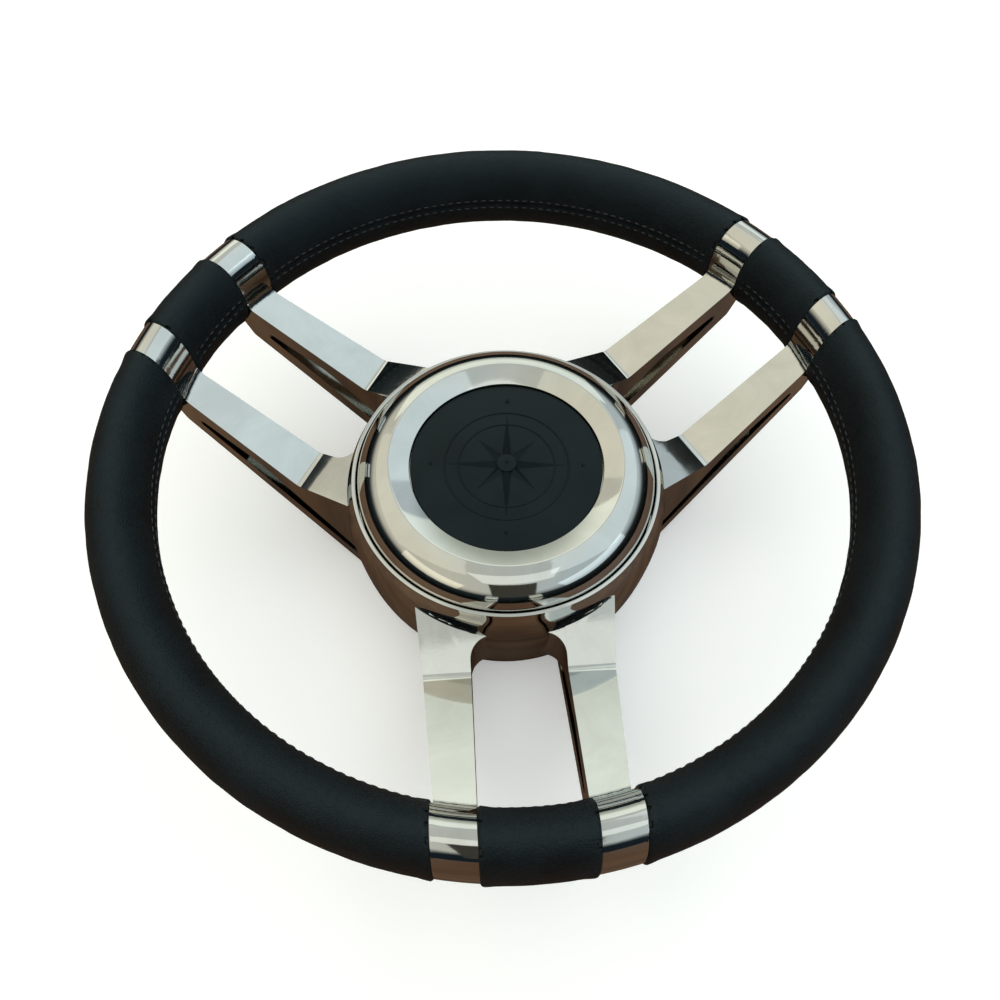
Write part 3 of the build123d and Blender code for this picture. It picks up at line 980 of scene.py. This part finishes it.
# %% Brown board
BOARD_SIZE = 2.6              # metres
BOARD_LEVEL = -0.3 * MM       # just over the floor
let_go()
bpy.ops.mesh.primitive_plane_add(size=BOARD_SIZE, location=(0, 0, BOARD_LEVEL))
table = freeze(bpy.context.object)
table.name = "brown_board"
stain, tree, shader, place = start_material("stained_board", "#5A3B24", 0.5)
along_grain = add_node(tree, "ShaderNodeMapping", {"Scale": (1.0, 9.0, 1.0)}, {"Vector": place})
grain = add_node(tree, "ShaderNodeTexNoise", {"Scale": per_metre(120), "Detail": 5.0},
                 {"Vector": along_grain.outputs["Vector"]}).outputs["Fac"]
tree.links.new(tint(tree, grain, "#4A2F1B", "#6E4B2F"), shader.inputs["Base Color"])
table.data.materials.append(stain)
table.visible_camera = False
table.visible_diffuse = False
table.visible_shadow = False
print("board", BOARD_SIZE, "m wide")

# %% [markdown]
# Polished steel is lit by what it mirrors, so every light is a large soft box with its own
# tint: cool on the right, warm on the left, one low card behind the rim and two in front.
# The last box hangs over everything and only evens the floor; the steel doesn't mirror it.

# %% Lights
LOOK_AT = Vector((0, 0, 0.08))
FLOOR_FILL = 0.75             # brightness of the box that evens the floor


def soft_box(name, azimuth, elevation, distance, width, height, colour, brightness):
    """An area light of a given brightness, standing in a direction and facing the wheel."""
    level = math.radians(elevation)
    away = direction(azimuth) * math.cos(level) + Vector((0, 0, math.sin(level)))
    let_go()
    bpy.ops.object.light_add(type="AREA", location=LOOK_AT + away * distance)
    light = bpy.context.object
    light.name = name
    light.rotation_euler = away.to_track_quat("Z", "Y").to_euler()
    light.data.shape = "RECTANGLE"
    light.data.size = width
    light.data.size_y = height
    light.data.color = linear(colour)[:3]
    light.data.energy = brightness * math.pi * width * height
    light.visible_camera = False
    print(name, "power", round(light.data.energy, 1), "W")
    return light


soft_box("cool_box", 14, 55, 1.4, 1.5, 1.2, "#DFEEF1", 0.34)
soft_box("warm_box", 160, 57, 1.4, 1.5, 1.2, "#F1EED6", 0.23)
soft_box("back_card", 88, 30, 1.5, 1.3, 1.1, "#E6EEDD", 0.58)
soft_box("front_box", -84, 66, 1.5, 0.9, 0.6, "#E6EAE4", 0.48)
soft_box("low_cool_card", -35, 26, 1.5, 1.2, 0.5, "#D3E7F2", 0.62)
soft_box("low_warm_card", -142, 26, 1.5, 1.0, 0.5, "#F1EACF", 0.55)
fill = soft_box("floor_fill", 0, 90, 2.5, 4.0, 4.0, "#FFFFFF", FLOOR_FILL)
fill.visible_glossy = False

# %% [markdown]
# A studio hand hangs a flag, a sheet of dull cloth, where the metal should show a deeper
# tone. This one is a faded dark grey and hangs in front of the hub, between the boxes; only
# reflections see it.

# %% Dark flag
FLAG_FROM_WHEEL = Vector((0.02, -1.13, 0.62))
FLAG_LEAN = math.radians(60)
FLAG_SIZE = (0.56, 1.05, 1)
let_go()
bpy.ops.mesh.primitive_plane_add(size=1, location=LOOK_AT + FLAG_FROM_WHEEL,
                                 rotation=(FLAG_LEAN, 0, 0))
flag = bpy.context.object
flag.name = "black_flag"
flag.scale = FLAG_SIZE
freeze(flag)
flag.data.materials.append(start_material("black_flag_cloth", "#45423C", 0.95)[0])
flag.visible_camera = False
flag.visible_diffuse = False
flag.visible_shadow = False
print("flag", FLAG_SIZE[0], "x", FLAG_SIZE[1], "m")

# %% [markdown]
# Between the boxes the room shows: bright overhead, warm on the left and cool on the
# right, and dark near the horizon, which puts the deep tones into the steel. A pale wall
# stands far behind for anyone who looks from the side; the steel does not reflect it.

# %% Room and wall
world = bpy.data.worlds.new("studio")
bpy.context.scene.world = world
world.use_nodes = True
tree = world.node_tree
toward = add_node(tree, "ShaderNodeTexCoord").outputs["Generated"]
axes = add_node(tree, "ShaderNodeSeparateXYZ", links={0: toward})
left_to_right = vary(tree, axes.outputs["X"], 0, 1, -0.5, 0.5)
room = add_node(tree, "ShaderNodeMix", links={0: left_to_right}, data_type="RGBA")
room.inputs[6].default_value = linear("#DAD7C7")
room.inputs[7].default_value = linear("#C6D4DA")
height = add_node(tree, "ShaderNodeMapRange", {"From Min": 0.22, "From Max": 0.5},
                  {"Value": axes.outputs["Z"]}, interpolation_type="SMOOTHSTEP")
sky = add_node(tree, "ShaderNodeMix", data_type="RGBA")
tree.links.new(height.outputs["Result"], sky.inputs[0])
sky.inputs[6].default_value = linear("#1B242B")
tree.links.new(room.outputs[2], sky.inputs[7])
tree.links.new(sky.outputs[2], tree.nodes["Background"].inputs["Color"])

WALL_RADIUS = 3.9             # metres, inside the floor's edges
WALL_HEIGHT = 6.0
WALL_MIDDLE = 2.9             # so that its foot is sunk in the floor
WALL_GLOW = 0.75
let_go()
bpy.ops.mesh.primitive_cylinder_add(vertices=96, radius=WALL_RADIUS, depth=WALL_HEIGHT,
                                    end_fill_type="NOTHING", location=(0, 0, WALL_MIDDLE))
wall = freeze(bpy.context.object)
wall.name = "far_wall"
bpy.ops.object.shade_smooth()
paint, tree, shader, _ = start_material("pale_wall_paint", "#E6E7E6", 0.8)
shader.inputs["Emission Color"].default_value = linear("#E2E4E4")
shader.inputs["Emission Strength"].default_value = WALL_GLOW
wall.data.materials.append(paint)
wall.visible_glossy = False
wall.visible_diffuse = False
wall.visible_shadow = False
bpy.context.scene.view_settings.view_transform = "Standard"
print("room and wall made")
